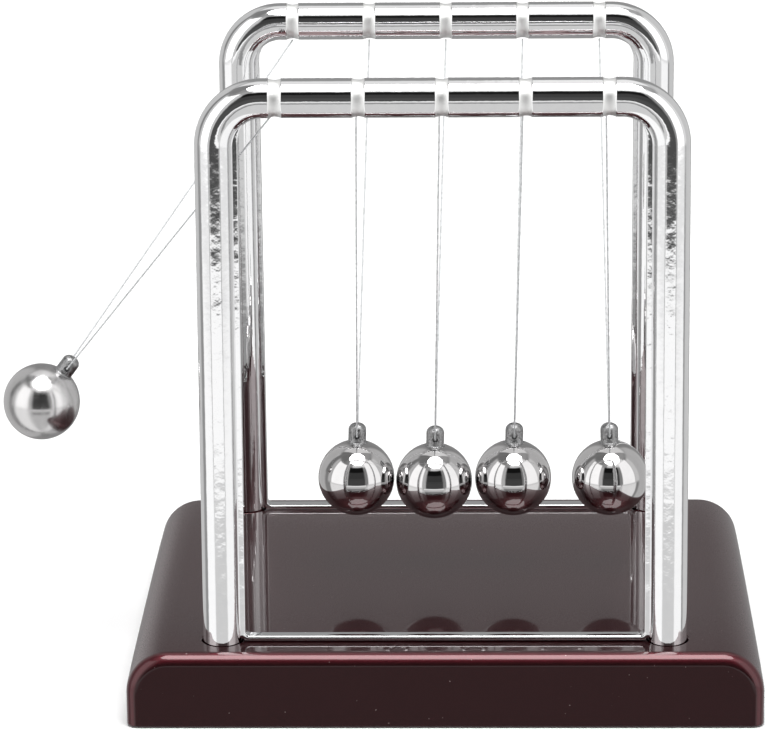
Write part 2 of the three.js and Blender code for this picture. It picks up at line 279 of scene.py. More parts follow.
# The zones of the studio, each laid over those before it: its turn from the front (right
# is positive) and its elevation in degrees, how soft its edges are, and how bright it is.
STUDIO_ZONES = {
    "left rear wall": ((-160, -108), (-90, 52), 6, 0.60),
    "right rear wall": ((96, 150), (-90, 52), 6, 0.62),
    "left rear ceiling": ((-180, -125), (56, 90), 5, 0.85),
    "right rear ceiling": ((120, 180), (54, 90), 5, 0.95),
    "dim ceiling at the left": ((-125, -55), (53, 90), 5, 0.22),
    "ceiling at the right": ((72, 118), (56, 90), 5, 0.42),
    "dark gap at the left": ((-112, -98), (5, 90), 4, 0.24),
    "overhead panel in front": ((-20, 72), (44, 62), 4, 1.00),
    "left wall": ((-94, -80), (-9, 50), 4, 0.65),
    "right wall": ((80, 98), (-9, 50), 4, 0.80),
    "left bright panel": ((-80, -34), (-9, 49), 2, 1.50),
    "right bright panel": ((38, 80), (-9, 54), 2, 1.40),
    "top of the left front corner": ((-36, -14), (43, 55), 3, 0.40),
    "left front corner": ((-36, -22), (-9, 44), 2, 0.62),
    "front opening at the horizon": ((-24, 28), (-10, 10), 2, 0.08),
    "front opening": ((-24, 28), (8, 30), 4, 0.055),
    "top of the front opening": ((-24, 28), (28, 45), 3, 0.010),
    "table in front": ((-34, 34), (-90, -12.5), 1, 0.68),
    "table at the left": ((-84, -34), (-90, -9), 4, 1.10),
    "table at the right": ((34, 84), (-90, -9), 4, 1.05),
    "far edge of the table": ((-31, 31), (-13, -9.6), 0.6, 1.10),
    "dark band on the table": ((-28, 28), (-25, -18.5), 1, 0.30),
}


def window(nodes, value, reach, soft, ends):
    """One between two numbers and nought outside, with soft edges, and none at an open end."""
    low, high = reach
    mask = 1.0
    if low > ends[0]:
        mask = nodes.step(value, low - soft, low + soft)
    if high < ends[1]:
        fall = nodes.step(value, high - soft, high + soft, 1.0, 0.0)
        mask = fall if mask == 1.0 else nodes.math("MULTIPLY", mask, fall)
    return mask


def studio_level(nodes, direction):
    """The studio's brightness in one direction."""
    split = nodes.add("ShaderNodeSeparateXYZ")
    nodes.feed(split.inputs[0], direction)
    x, y, z = split.outputs
    front = nodes.math("MULTIPLY", y, -1.0)
    turn = nodes.math("DEGREES", nodes.math("ARCTAN2", x, front))
    elevation = nodes.math("DEGREES", nodes.math("ARCSINE", z))
    level = ROOM_LEVEL
    for turns, elevations, soft, brightness in STUDIO_ZONES.values():
        across = window(nodes, turn, turns, soft, (-180, 180))
        along = window(nodes, elevation, elevations, soft, (-90, 90))
        mask = nodes.math("MULTIPLY", across, along)
        mix = nodes.add("ShaderNodeMix", data_type="FLOAT")
        nodes.feed(mix.inputs["Factor"], mask)
        nodes.feed(mix.inputs["A"], level)
        nodes.feed(mix.inputs["B"], brightness)
        level = mix.outputs["Result"]
    key = nodes.math("MULTIPLY", key_light_mask(nodes, direction), KEY_BRIGHTNESS)
    return nodes.math("MAXIMUM", level, key)


def make_world():
    """A soft studio: an octagonal light overhead, bright panels at the sides, a dim front."""
    world = bpy.data.worlds.new("studio")
    world.use_nodes = True
    bpy.context.scene.world = world
    nodes = Nodes(world.node_tree)
    background = world.node_tree.nodes["Background"]
    direction = nodes.add("ShaderNodeTexCoord").outputs["Generated"]
    seen = nodes.add("ShaderNodeLightPath").outputs["Is Camera Ray"]
    mix = nodes.add("ShaderNodeMix", data_type="FLOAT")
    nodes.feed(mix.inputs["Factor"], seen)
    nodes.feed(mix.inputs["A"], studio_level(nodes, direction))
    mix.inputs["B"].default_value = BACKDROP_BRIGHTNESS
    nodes.feed(background.inputs["Strength"], mix.outputs["Result"])
    background.inputs["Color"].default_value = (1.0, 1.0, 1.0, 1.0)


def make_floor():
    """A wide pale floor at the height the pad stands on."""
    mesh = bpy.data.meshes.new("floor")
    corners = [(-1, -1), (1, -1), (1, 1), (-1, 1)]
    height = cad_low.z - FLOOR_GAP
    points = [(x * FLOOR_HALF, y * FLOOR_HALF, height) for x, y in corners]
    mesh.from_pydata(points, [], [(0, 1, 2, 3)])
    floor = bpy.data.objects.new("floor", mesh)
    bpy.context.scene.collection.objects.link(floor)
    material, nodes, shader = new_material("floor_paper")
    tone = nodes.noise(3.0, 2.0, nodes.object_place())
    paper = nodes.blend(tone, (0.83, 0.83, 0.83), (0.86, 0.86, 0.86))
    nodes.feed(shader.inputs["Base Color"], paper)
    shader.inputs["Roughness"].default_value = 0.9
    shader.inputs["Specular IOR Level"].default_value = 0.1
    mesh.materials.append(material)
    floor.visible_glossy = False


# ---- Materials ----


def groove_mask(nodes):
    """One inside the bar's string grooves, nought elsewhere."""
    split = nodes.add("ShaderNodeSeparateXYZ")
    nodes.feed(split.inputs[0], nodes.object_place())
    x, y, z = split.outputs
    pitch = PIVOTS[1].x - PIVOTS[0].x
    reach = GROOVE_WIDTH / 2
    nearest = nodes.math("PINGPONG", x, pitch / 2)
    inside = nodes.step(nearest, reach - 0.25 * MM, reach + 0.1 * MM, 1.0, 0.0)
    high = nodes.math("GREATER_THAN", z, PIVOTS[0].z - 3 * MM)
    along = nodes.math("LESS_THAN", nodes.math("ABSOLUTE", x), 2.5 * pitch)
    return nodes.math("MULTIPLY", nodes.math("MULTIPLY", inside, high), along)


def chrome_material():
    """Bright plated metal: slightly wavy, faintly smudged, dulled where the strings bear, and made
    whiter in the grooves as a painted highlight.
    """
    material, nodes, shader = new_material("chrome_plate")
    place = nodes.object_place()
    smudge = nodes.noise(420.0, 5.0, place)
    wear_and_highlight = groove_mask(nodes)
    shader.inputs["Metallic"].default_value = 1.0
    plate = nodes.blend(smudge, (0.84, 0.84, 0.85), (0.91, 0.91, 0.91))
    # Painted highlight: the plate is whiter in the grooves; the added roughness there is the
    # strings' wear.
    nodes.feed(shader.inputs["Base Color"], nodes.blend(wear_and_highlight, plate, (0.96, 0.96, 0.95)))
    polish = nodes.step(smudge, 0.35, 0.75, 0.025, 0.075)
    dull = nodes.math("MULTIPLY", wear_and_highlight, 0.42)
    nodes.feed(shader.inputs["Roughness"], nodes.math("ADD", polish, dull))
    ripple = nodes.noise(260.0, 3.0, place)
    nodes.feed(shader.inputs["Normal"], nodes.bump(ripple, 0.5, 0.00008))
    return material


def ball_material():
    """Mirror-polished steel with a faint haze and hair scratches."""
    material, nodes, shader = new_material("polished_steel")
    place = nodes.object_place()
    haze = nodes.noise(380.0, 4.0, place)
    scratches = nodes.noise(2600.0, 2.0, nodes.object_place((1.0, 0.15, 0.6)))
    shader.inputs["Metallic"].default_value = 1.0
    steel = nodes.blend(haze, (0.58, 0.57, 0.57), (0.68, 0.67, 0.67))
    nodes.feed(shader.inputs["Base Color"], steel)
    nodes.feed(shader.inputs["Roughness"], nodes.step(haze, 0.3, 0.8, 0.015, 0.06))
    nodes.feed(shader.inputs["Normal"], nodes.bump(scratches, 0.25, 0.000006))
    return material


def satin_painted_light_ball_material():
    """The same steel for the end ball, rougher, with a brushed grain and a lighter colour that is
    painted light for its softer, brighter lighting.
    """
    material, nodes, shader = new_material("brushed_steel_painted_light")
    brushed = nodes.noise(900.0, 3.0, nodes.object_place((1.0, 1.0, 0.12)))
    shader.inputs["Metallic"].default_value = 1.0
    # Painted light: a lighter steel than on the other balls, for the end ball's brighter lighting.
    steel = nodes.blend(brushed, (0.60, 0.59, 0.59), (0.74, 0.73, 0.73))
    nodes.feed(shader.inputs["Base Color"], steel)
    nodes.feed(shader.inputs["Roughness"], nodes.step(brushed, 0.3, 0.7, 0.16, 0.27))
    nodes.feed(shader.inputs["Normal"], nodes.bump(brushed, 0.25, 0.00001))
    return material


def eyelet_material():
    """Turned metal, duller than the balls, with a fine cast grain."""
    material, nodes, shader = new_material("turned_metal")
    grain = nodes.noise(1500.0, 3.0, nodes.object_place())
    shader.inputs["Metallic"].default_value = 1.0
    metal = nodes.blend(grain, (0.16, 0.16, 0.165), (0.48, 0.48, 0.48))
    nodes.feed(shader.inputs["Base Color"], metal)
    nodes.feed(shader.inputs["Roughness"], nodes.step(grain, 0.3, 0.7, 0.24, 0.44))
    nodes.feed(shader.inputs["Normal"], nodes.bump(grain, 1.0, 0.00022))
    return material


def painted_glow_edge_mask(nodes):
    """One on the rounded front and rear edges, where a redder colour is painted as a red glow
    beside the highlight, nought elsewhere.
    """
    split = nodes.add("ShaderNodeSeparateXYZ")
    nodes.feed(split.inputs[0], nodes.add("ShaderNodeTexCoord").outputs["Normal"])
    facing = nodes.math("ABSOLUTE", split.outputs["Y"])
    rise = nodes.step(facing, 0.03, 0.40)
    fall = nodes.step(facing, 0.90, 0.99, 1.0, 0.0)
    return nodes.math("MULTIPLY", rise, fall)


def base_material():
    """Burgundy metallic paint under a clear coat, painted redder at its rounded edges as a red
    glow beside the highlight, a little dusty.
    """
    material, nodes, shader = new_material("burgundy_gloss")
    place = nodes.object_place()
    flakes = nodes.noise(5200.0, 2.0, place)
    cloud = nodes.noise(60.0, 3.0, place)
    dust = nodes.step(nodes.noise(1300.0, 1.0, place), 0.79, 0.815)
    flat = nodes.blend(flakes, (0.014, 0.0008, 0.0018), (0.042, 0.0035, 0.0055))
    # Painted highlight: the redder colour on the rounded edges stands in for the red glow around
    # the edges' highlight.
    edge = nodes.blend(flakes, (0.040, 0.0030, 0.0065), (0.095, 0.0080, 0.0150))
    paint = nodes.blend(painted_glow_edge_mask(nodes), flat, edge)
    speck = nodes.blend(cloud, (0.20, 0.17, 0.16), (0.36, 0.31, 0.29))
    nodes.feed(shader.inputs["Base Color"], nodes.blend(dust, paint, speck))
    shader.inputs["Metallic"].default_value = 0.75
    nodes.feed(shader.inputs["Roughness"], nodes.step(flakes, 0.35, 0.65, 0.30, 0.46))
    shader.inputs["Coat Weight"].default_value = 1.0
    shader.inputs["Coat IOR"].default_value = 1.45
    shader.inputs["Coat Tint"].default_value = (1.0, 0.86, 0.88, 1.0)
    shader.inputs["Coat Roughness"].default_value = 0.035
    nodes.feed(shader.inputs["Normal"], nodes.bump(flakes, 0.5, 0.000012))
    return material


def nylon_material():
    """Clear nylon line with a grey colour and little transmission."""
    material, nodes, shader = new_material("clear_nylon")
    milk = nodes.noise(700.0, 2.0, nodes.object_place())
    clear = nodes.blend(milk, (0.55, 0.56, 0.57), (0.68, 0.69, 0.70))
    nodes.feed(shader.inputs["Base Color"], clear)
    nodes.feed(shader.inputs["Roughness"], nodes.step(milk, 0.3, 0.7, 0.22, 0.35))
    shader.inputs["IOR"].default_value = 1.53
    shader.inputs["Transmission Weight"].default_value = 0.1
    return material


def plastic_material(name, dark, light, roughness, grain_scale):
    """Moulded plastic or foam with a fine grain, between two greys."""
    material, nodes, shader = new_material(name)
    grain = nodes.noise(grain_scale, 4.0, nodes.object_place())
    nodes.feed(shader.inputs["Base Color"], nodes.blend(grain, dark, light))
    varied = nodes.step(grain, 0.3, 0.7, roughness - 0.08, roughness + 0.08)
    nodes.feed(shader.inputs["Roughness"], varied)
    nodes.feed(shader.inputs["Normal"], nodes.bump(grain, 0.4, 0.00005))
    return material


def screw_material():
    """Zinc-plated steel with a brushed tint."""
    material, nodes, shader = new_material("zinc_plate")
    grain = nodes.noise(300.0, 4.0, nodes.object_place((1.0, 1.0, 6.0)))
    shader.inputs["Metallic"].default_value = 1.0
    zinc = nodes.blend(grain, (0.46, 0.46, 0.45), (0.62, 0.61, 0.58))
    nodes.feed(shader.inputs["Base Color"], zinc)
    nodes.feed(shader.inputs["Roughness"], nodes.step(grain, 0.3, 0.7, 0.25, 0.42))
    return material


PLATE_GREYS = ((0.018, 0.017, 0.018), (0.035, 0.034, 0.035))
FOAM_GREYS = ((0.010, 0.010, 0.010), (0.030, 0.030, 0.030))

MATERIALS = {
    "chrome": chrome_material(),
    "ball": ball_material(),
    "satin_painted_light_ball": satin_painted_light_ball_material(),
    "eyelet": eyelet_material(),
    "base": base_material(),
    "nylon": nylon_material(),
    "plate": plastic_material("matt_black", *PLATE_GREYS, roughness=0.6, grain_scale=700.0),
    "foam": plastic_material("black_foam", *FOAM_GREYS, roughness=0.9, grain_scale=1500.0),
    "screw": screw_material(),
}

# ---- Mesh helpers ----


def new_object(name, mesh, material, smooth_angle=35):
    """Links a mesh as an object with one material, smooth except at its sharp edges."""
    obj = bpy.data.objects.new(name, mesh)
    bpy.context.scene.collection.objects.link(obj)
    mesh.materials.clear()
    mesh.materials.append(MATERIALS[material])
    smooth(mesh, smooth_angle)
    return obj


def smooth(mesh, angle):
    """Smooth shading, with edges sharper than the angle left crisp."""
    work = bmesh.new()
    work.from_mesh(mesh)
    for face in work.faces:
        face.smooth = True
    limit = math.radians(angle)
    for edge in work.edges:
        edge.smooth = len(edge.link_faces) == 2 and edge.calc_face_angle(0.0) < limit
    work.to_mesh(mesh)
    work.free()


def mesh_of(name, points, faces):
    """A mesh of points and faces, with its normals pointing outward."""
    mesh = bpy.data.meshes.new(name)
    mesh.from_pydata([tuple(p) for p in points], [], faces)
    mesh.validate()
    work = bmesh.new()
    work.from_mesh(mesh)
    bmesh.ops.recalc_face_normals(work, faces=work.faces)
    work.to_mesh(mesh)
    work.free()
    return mesh


def lofted(name, rings, closed_path=False):
    """Joins rings of equal count into a tube, capped at its ends unless the path is closed."""
    count = len(rings[0])
    points = [point for ring in rings for point in ring]
    faces = []
    spans = len(rings) if closed_path else len(rings) - 1
    for span in range(spans):
        here, there = span * count, ((span + 1) % len(rings)) * count
        for side in range(count):
            beside = (side + 1) % count
            faces.append((here + side, here + beside, there + beside, there + side))
    if not closed_path:
        faces.append(tuple(reversed(range(count))))
        faces.append(tuple(range(len(points) - count, len(points))))
    return mesh_of(name, points, faces)


def turned(name, profile, sides=64):
    """A profile of (radius, height) turned about Z. Points of no radius close it at the axis."""
    points, faces, rows = [], [], []
    for radius, height in profile:
        if radius < 1e-9:
            rows.append([len(points)] * sides)
            points.append((0.0, 0.0, height))
        else:
            rows.append(list(range(len(points), len(points) + sides)))
            for side in range(sides):
                angle = 2 * math.pi * side / sides
                points.append((radius * math.cos(angle), radius * math.sin(angle), height))
    for low, high in zip(rows, rows[1:]):
        for side in range(sides):
            beside = (side + 1) % sides
            corners = [low[side], low[beside], high[beside], high[side]]
            unique = list(dict.fromkeys(corners))
            if len(unique) > 2:
                faces.append(tuple(unique))
    return mesh_of(name, points, faces)


def arc(centre, radius, start, end, steps):
    """Points on an arc, angles in degrees."""
    found = []
    for step in range(steps + 1):
        angle = math.radians(start + (end - start) * step / steps)
        found.append((centre[0] + radius * math.cos(angle), centre[1] + radius * math.sin(angle)))
    return found


def carved(mesh, cutters, operation="DIFFERENCE"):
    """The mesh after a boolean with each cutter mesh."""
    obj = bpy.data.objects.new("carving", mesh)
    bpy.context.scene.collection.objects.link(obj)
    tools = []
    for cutter in cutters:
        tool = bpy.data.objects.new("tool", cutter)
        bpy.context.scene.collection.objects.link(tool)
        tools.append(tool)
        modifier = obj.modifiers.new("carve", "BOOLEAN")
        modifier.operation = operation
        modifier.solver = "EXACT"
        modifier.object = tool
    depsgraph = bpy.context.evaluated_depsgraph_get()
    result = bpy.data.meshes.new_from_object(obj.evaluated_get(depsgraph))
    for used in [obj, *tools]:
        data = used.data
        bpy.data.objects.remove(used)
        bpy.data.meshes.remove(data)
    return result


def moved(mesh, matrix):
    """The same mesh, after it is moved by the matrix."""
    mesh.transform(matrix)
    return mesh


def leaning(side):
    """The matrix from a frame's own plane to where that frame stands. side is -1 at the front."""
    place = Matrix.Translation((0.0, side * FRAME_Y, BASE_TOP))
    return place @ Matrix.Rotation(side * FRAME_LEAN, 4, "X")


def hanging(index):
    """The matrix from a ball's own axes, with its pivot at the origin, to where it hangs."""
    return Matrix.Translation(PIVOTS[index]) @ Matrix.Rotation(-SWING_ANGLES[index], 4, "Y")


def finished(obj, body, slot, *nodes):
    """Gives a piece its body and hides the CAD nodes that it stands for. The slot is not used."""
    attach(obj, body)
    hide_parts(*nodes)
    return obj


# ---- Strings ----


def half_string(index, side, shift):
    """Half a string about its pivot, from its bar to the inside of the eyelet."""
    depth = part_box(f"string_{index + 1}")[1].y - STRING_END_REACH
    anchor = Vector((shift, side * depth, 0.0))
    hole_z = EYELET_HOLE_Z - HANG_LENGTHS[index]
    mouth = Vector((0.0, side * (EYELET_RADIUS + STRING_RADIUS + STRING_GAP), hole_z))
    inside = Vector((0.0, side * (EYELET_RADIUS - 0.2 * MM), hole_z))
    above = mouth + (anchor - mouth).normalized() * 0.7 * MM
    points = [anchor.lerp(above, share) for share in (0.0, 0.25, 0.5, 0.75)]
    for step in range(9):
        share = step / 8
        rest = 1 - share
        points.append(rest**2 * above + 2 * share * rest * mouth + share**2 * inside)
    return points


def string_path(index):
    """Points of one string: down from the front bar, through the eyelet and up to the rear bar."""
    return half_string(index, -1, FRONT_SHIFT) + half_string(index, 1, 0.0)[::-1]


def make_string(index):
    """A clear nylon line as a round curve, held at both ends."""
    matrix = hanging(index)
    points = [matrix @ point for point in string_path(index)]
    data = bpy.data.curves.new(f"nylon_line_{index + 1}", "CURVE")
    data.dimensions = "3D"
    data.bevel_depth = STRING_RADIUS
    data.bevel_resolution = 5
    data.use_fill_caps = True
    spline = data.splines.new("POLY")
    spline.points.add(len(points) - 1)
    for target, point in zip(spline.points, points):
        target.co = (*point, 1.0)
    data.materials.append(MATERIALS["nylon"])
    line = bpy.data.objects.new(f"nylon_line_{index + 1}", data)
    bpy.context.scene.collection.objects.link(line)
    finished(line, f"ball_{index + 1}_hanging", "nylon_line", f"string_{index + 1}")


# ---- Balls and eyelets ----


def make_ball(index):
    """A turned and polished ball with the stud's hole at its top."""
    hole_edge = math.degrees(math.acos(BALL_STUD_HOLE / BALL_RADIUS))
    outside = arc((0.0, 0.0), BALL_RADIUS, -90, hole_edge - 0.4, 96)
    outside[0] = (0.0, -BALL_RADIUS)
    top = BALL_RADIUS * math.sin(math.radians(hole_edge))
    lip = (BALL_STUD_HOLE, top - 0.05 * MM)
    hole_floor = BALL_RADIUS - 3.2 * MM
    hole = [(BALL_STUD_HOLE, hole_floor), (0.0, hole_floor - 0.5 * MM)]
    profile = [*outside, lip, *hole]
    mesh = turned("ball", profile, 128)
    drop = Matrix.Translation((0.0, 0.0, -HANG_LENGTHS[index]))
    finish = "satin_painted_light_ball" if index == 0 else "ball"
    obj = new_object(f"polished_ball_{index + 1}", moved(mesh, hanging(index) @ drop), finish)
    finished(obj, f"ball_{index + 1}_hanging", "ball_steel", f"ball_{index + 1}")


def flared_drill(radius, half_length, flare):
    """A drill along Y with a rounded flare at both ends, to round a hole's mouths."""
    right = [(radius, 0.0)]
    for step in range(7):
        angle = math.radians(90 * step / 6)
        out = flare * (1 - math.cos(angle))
        right.append((radius + out, half_length - flare + flare * math.sin(angle)))
    right.append((radius + flare, half_length + 3 * MM))
    profile = [(r, -z) for r, z in reversed(right)] + right[1:]
    profile = [(0.0, profile[0][1]), *profile, (0.0, profile[-1][1])]
    mesh = turned("drill", profile, 32)
    return moved(mesh, Matrix.Rotation(math.pi / 2, 4, "X"))


def make_eyelet(index):
    """A domed lug that sits on its ball with a small fillet, drilled from front to rear."""
    foot = EYELET_RADIUS + EYELET_FILLET
    foot_z = math.sqrt(BALL_RADIUS**2 - foot**2) - 0.02 * MM
    stud = BALL_STUD_HOLE - 0.05 * MM
    stud_z = math.sqrt(BALL_RADIUS**2 - stud**2) - 0.02 * MM
    fillet = arc((foot, foot_z + EYELET_FILLET + 0.1 * MM), EYELET_FILLET, -90, -180, 6)
    quarter = arc((0.0, 0.0), 1.0, 0, 90, 14)
    dome_low = EYELET_TOP - EYELET_DOME
    dome = [(EYELET_RADIUS * x, dome_low + EYELET_DOME * y) for x, y in quarter]
    dome[-1] = (0.0, EYELET_TOP)
    bottom = BALL_RADIUS - 2.9 * MM
    profile = [(0.0, bottom), (stud, bottom), (stud, stud_z), (foot, foot_z), *fillet]
    profile += [(EYELET_RADIUS, EYELET_HOLE_Z), *dome]
    mesh = turned("eyelet", profile, 64)
    drill = flared_drill(EYELET_HOLE_RADIUS, EYELET_RADIUS, 0.22 * MM)
    mesh = carved(mesh, [moved(drill, Matrix.Translation((0.0, 0.0, EYELET_HOLE_Z)))])
    drop = Matrix.Translation((0.0, 0.0, -HANG_LENGTHS[index]))
    obj = new_object(f"eyelet_lug_{index + 1}", moved(mesh, hanging(index) @ drop), "eyelet", 40)
    finished(obj, f"ball_{index + 1}_hanging", "eyelet_metal", f"eyelet_{index + 1}")


# ---- Frames ----


def groove_cut(x):
    """How much the grooves take off the bar's radius at a place along it."""
    cut = 0.0
    for pivot in PIVOTS:
        share = abs(x - pivot.x) / (GROOVE_WIDTH / 2)
        if share < 1:
            cut = GROOVE_DEPTH * math.cos(math.pi / 2 * share) ** 0.8
    return cut


def frame_stations():
    """Centre, outward direction and radius of each ring round the U, in the frame's plane."""
    stations = []
    out = Vector((-1.0, 0.0, 0.0))
    foot = Vector((-LEG_X, 0.0, -LEG_DEPTH))
    stations.append((foot, out, TUBE_RADIUS - FOOT_CHAMFER))
    for height in (-LEG_DEPTH + FOOT_CHAMFER, 0.02, 0.05, 0.08, 0.1):
        stations.append((Vector((-LEG_X, 0.0, height)), out, TUBE_RADIUS))
    centre = Vector((-LEG_X + BEND_RADIUS, 0.0, BAR_HEIGHT - BEND_RADIUS))
    for step in range(33):
        angle = math.pi - math.pi / 2 * step / 32
        out = Vector((math.cos(angle), 0.0, math.sin(angle)))
        stations.append((centre + out * BEND_RADIUS, out, TUBE_RADIUS))
    for x in bar_places():
        up = Vector((0.0, 0.0, 1.0))
        stations.append((Vector((x, 0.0, BAR_HEIGHT)), up, TUBE_RADIUS - groove_cut(x)))
    return stations


def bar_places():
    """Ring places along the left half of the bar, close together in the grooves."""
    start = -LEG_X + BEND_RADIUS
    places = {0.0}
    for pivot in PIVOTS:
        for step in range(-12, 13):
            places.add(round(pivot.x + GROOVE_WIDTH / 2 * step / 12, 7))
        for edge in (-1, 1):
            places.add(round(pivot.x + edge * (GROOVE_WIDTH / 2 + 0.15 * MM), 7))
            places.add(round(pivot.x + edge * (GROOVE_WIDTH / 2 + 1.2 * MM), 7))
    return sorted(x for x in places if start + 0.1 * MM < x < 1e-9)


def tube_mesh():
    """The U tube with its grooves."""
    left = frame_stations()
    flip = Vector((-1.0, 1.0, 1.0))
    right = [(centre * flip, out * flip, radius) for centre, out, radius in reversed(left[:-1])]
    rings = []
    for centre, out, radius in left + right:
        ring = []
        for side in range(TUBE_SIDES):
            angle = 2 * math.pi * side / TUBE_SIDES
            across = Vector((0, radius * math.sin(angle), 0))
            ring.append(centre + out * (radius * math.cos(angle)) + across)
        rings.append(ring)
    return lofted("tube", rings)


def rib_outline():
    """The rib's closed line round the window, with its outward directions."""
    half = LEG_X - TUBE_RADIUS - RIB_STAND
    high = BAR_HEIGHT - TUBE_RADIUS / 2
    corners = [
        (half, RAIL_HIGH, -90, RIB_FOOT_RADIUS, (-1, 1)),
        (half, high, 0, RIB_HEAD_RADIUS, (-1, -1)),
        (-half, high, 90, RIB_HEAD_RADIUS, (1, -1)),
        (-half, RAIL_HIGH, 180, RIB_FOOT_RADIUS, (1, 1)),
    ]
    line = []
    for x, z, start, radius, (toward_x, toward_z) in corners:
        centre = (x + toward_x * radius, z + toward_z * radius)
        for step in range(11):
            angle = math.radians(start + 90 * step / 10)
            out = Vector((math.cos(angle), 0.0, math.sin(angle)))
            line.append((Vector((centre[0], 0.0, centre[1])) + out * radius, out))
    return line


def rib_mesh():
    """A flat strip with rounded edges round the window: a rib on each leg, the rail below."""
    rail = RAIL_HIGH - RAIL_LOW
    corner = 0.22 * MM
    half_y = RIB_WIDTH / 2
    rings = []
    for point, out in rib_outline():
        rise = max(0.0, point.z - RAIL_HIGH)
        depth = rail + min(RIB_SINK, 0.8 * rise)
        ring = []
        for is_outer, y_side, start in ((0, 1, 180), (1, 1, 90), (1, -1, 0), (0, -1, -90)):
            centre_out = depth - corner if is_outer else corner
            centre_y = y_side * (half_y - corner)
            for step in range(6):
                angle = math.radians(start - 90 * step / 5)
                reach = centre_out + corner * math.cos(angle)
                across = Vector((0.0, centre_y + corner * math.sin(angle), 0.0))
                ring.append(point + out * reach + across)
        rings.append(ring)
    return lofted("rib", rings, closed_path=True)


def make_frame(label, side):
    """One frame: tube, rib and rail in a single plated piece."""
    mesh = carved(tube_mesh(), [rib_mesh()], "UNION")
    obj = new_object(f"{label}_chrome_frame", moved(mesh, leaning(side)), "chrome", 32)
    finished(obj, "stand", "frame_chrome", f"{label}_frame")


def make_plug(label, index):
    """A small nylon plug in the bar, which holds a string's end."""
    node = f"{label}_string_plug_{index + 1}"
    low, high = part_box(node)
    side = -1 if label == "front" else 1
    slope = math.atan2(high.y - low.y - 1.1 * MM, high.z - low.z)
    tail, head = -PLUG_HALF_LENGTH, PLUG_HALF_LENGTH
    chamfer, dimple = 0.1 * MM, 0.22 * MM
    profile = [(0.0, tail), (PLUG_RADIUS - chamfer, tail), (PLUG_RADIUS, tail + chamfer)]
    rounding_centre = (PLUG_RADIUS - PLUG_ROUNDING, head - PLUG_ROUNDING)
    profile += arc(rounding_centre, PLUG_ROUNDING, 0, 90, 4)
    profile += [(dimple, head), (dimple, head - 0.15 * MM), (0.0, head - 0.15 * MM)]
    mesh = turned("plug", profile, 32)
    aim = Vector((0.0, -side * math.sin(slope), -math.cos(slope)))
    turn = aim.to_track_quat("Z", "X").to_matrix().to_4x4()
    matrix = Matrix.Translation((low + high) / 2) @ turn
    obj = new_object(f"{label}_plug_{index + 1}", moved(mesh, matrix), "nylon")
    finished(obj, "stand", "plugs", node)


# ---- Base ----


def crown(y):
    """How much the top stands above its height beside the frames' feet."""
    return BASE_CROWN * (1 - (abs(y) / FRAME_Y) ** 4)


def shell_ring(inset, y, low, support):
    """The base's front outline, inset from its sides and top, as a ring at one depth."""
    half = SHELL_HIGH.x - inset
    top = BASE_TOP + crown(y) - inset
    radius = BASE_SHOULDER - inset
    points = [(half, low), (half, top - radius - support)]
    points += arc((half - radius, top - radius), radius, 0, 90, 28)
    points += [(half - radius - support, top)]
    left = [(-x, z) for x, z in reversed(points)]
    return [Vector((x, y, z)) for x, z in points + left]


def body_mesh(inset, low, edge, support):
    """A rounded slab with its front and rear edges rounded too."""
    reach = SHELL_HIGH.y - inset
    rings = []
    for step in range(15):
        angle = math.pi / 2 * step / 14
        y = -reach + edge * (1 - math.cos(angle))
        rings.append(shell_ring(inset + edge * (1 - math.sin(angle)), y, low, support))
    rings.append(shell_ring(inset, -reach + edge + support, low, support))
    inner = reach - edge - 1 * MM
    for step in range(CROWN_STEPS):
        rings.append(shell_ring(inset, -inner * (1 - step / CROWN_STEPS), low, support))
    middle = shell_ring(inset, 0.0, low, support)
    rear = [[Vector((p.x, -p.y, p.z)) for p in ring] for ring in reversed(rings)]
    rings += [middle, *rear]
    return lofted("slab", rings)


def socket_cutter(side, hand):
    """A round socket for one leg, with a softly rounded rim at the base's top face."""
    radius = TUBE_RADIUS + SOCKET_GAP
    bottom = -LEG_DEPTH - SOCKET_GAP
    profile = [(0.0, bottom), (radius, bottom)]
    profile += arc((radius + SOCKET_LIP, -SOCKET_LIP), SOCKET_LIP, 180, 90, 6)
    profile += [(radius + SOCKET_LIP, 3 * MM), (0.0, 3 * MM)]
    mesh = turned("socket", profile, 72)
    return moved(mesh, leaning(side) @ Matrix.Translation((hand * LEG_X, 0.0, 0.0)))


def post_mesh(radius, low, high, place=(0.0, 0.0)):
    """An upright cylinder, as a post to add or a hole to cut."""
    profile = [(0.0, low), (radius, low), (radius, high), (0.0, high)]
    return moved(turned("post", profile, 48), Matrix.Translation((*place, 0.0)))


def middle_of(node):
    """The middle of a CAD node, seen from above."""
    low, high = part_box(node)
    return ((low + high) / 2).xy


def shell_posts():
    """The bosses that the leg screws go through and the pillars that the plate screws hold in."""
    roof = BASE_TOP - BASE_WALL / 2
    boss_y = FRAME_Y + 0.2 * MM
    posts = []
    for side in (-1, 1):
        for hand in (-1, 1):
            place = (hand * LEG_X, side * boss_y)
            posts.append(post_mesh(BOSS_RADIUS, BOSS_LOW, roof, place))
    pillar_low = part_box("base_plate")[1].z + 0.2 * MM
    for node in PLATE_SCREWS:
        posts.append(post_mesh(PILLAR_RADIUS, pillar_low, roof, middle_of(node)))
    return posts


def shell_holes():
    """The leg sockets and the screw holes."""
    holes = [socket_cutter(side, hand) for side in (-1, 1) for hand in (-1, 1)]
    for node in LEG_SCREWS:
        holes.append(post_mesh(LEG_SCREW_HOLE, 0.0, HOLE_TOP, middle_of(node)))
    for node in PLATE_SCREWS:
        holes.append(post_mesh(PLATE_SCREW_HOLE, 0.0, HOLE_TOP, middle_of(node)))
    return holes


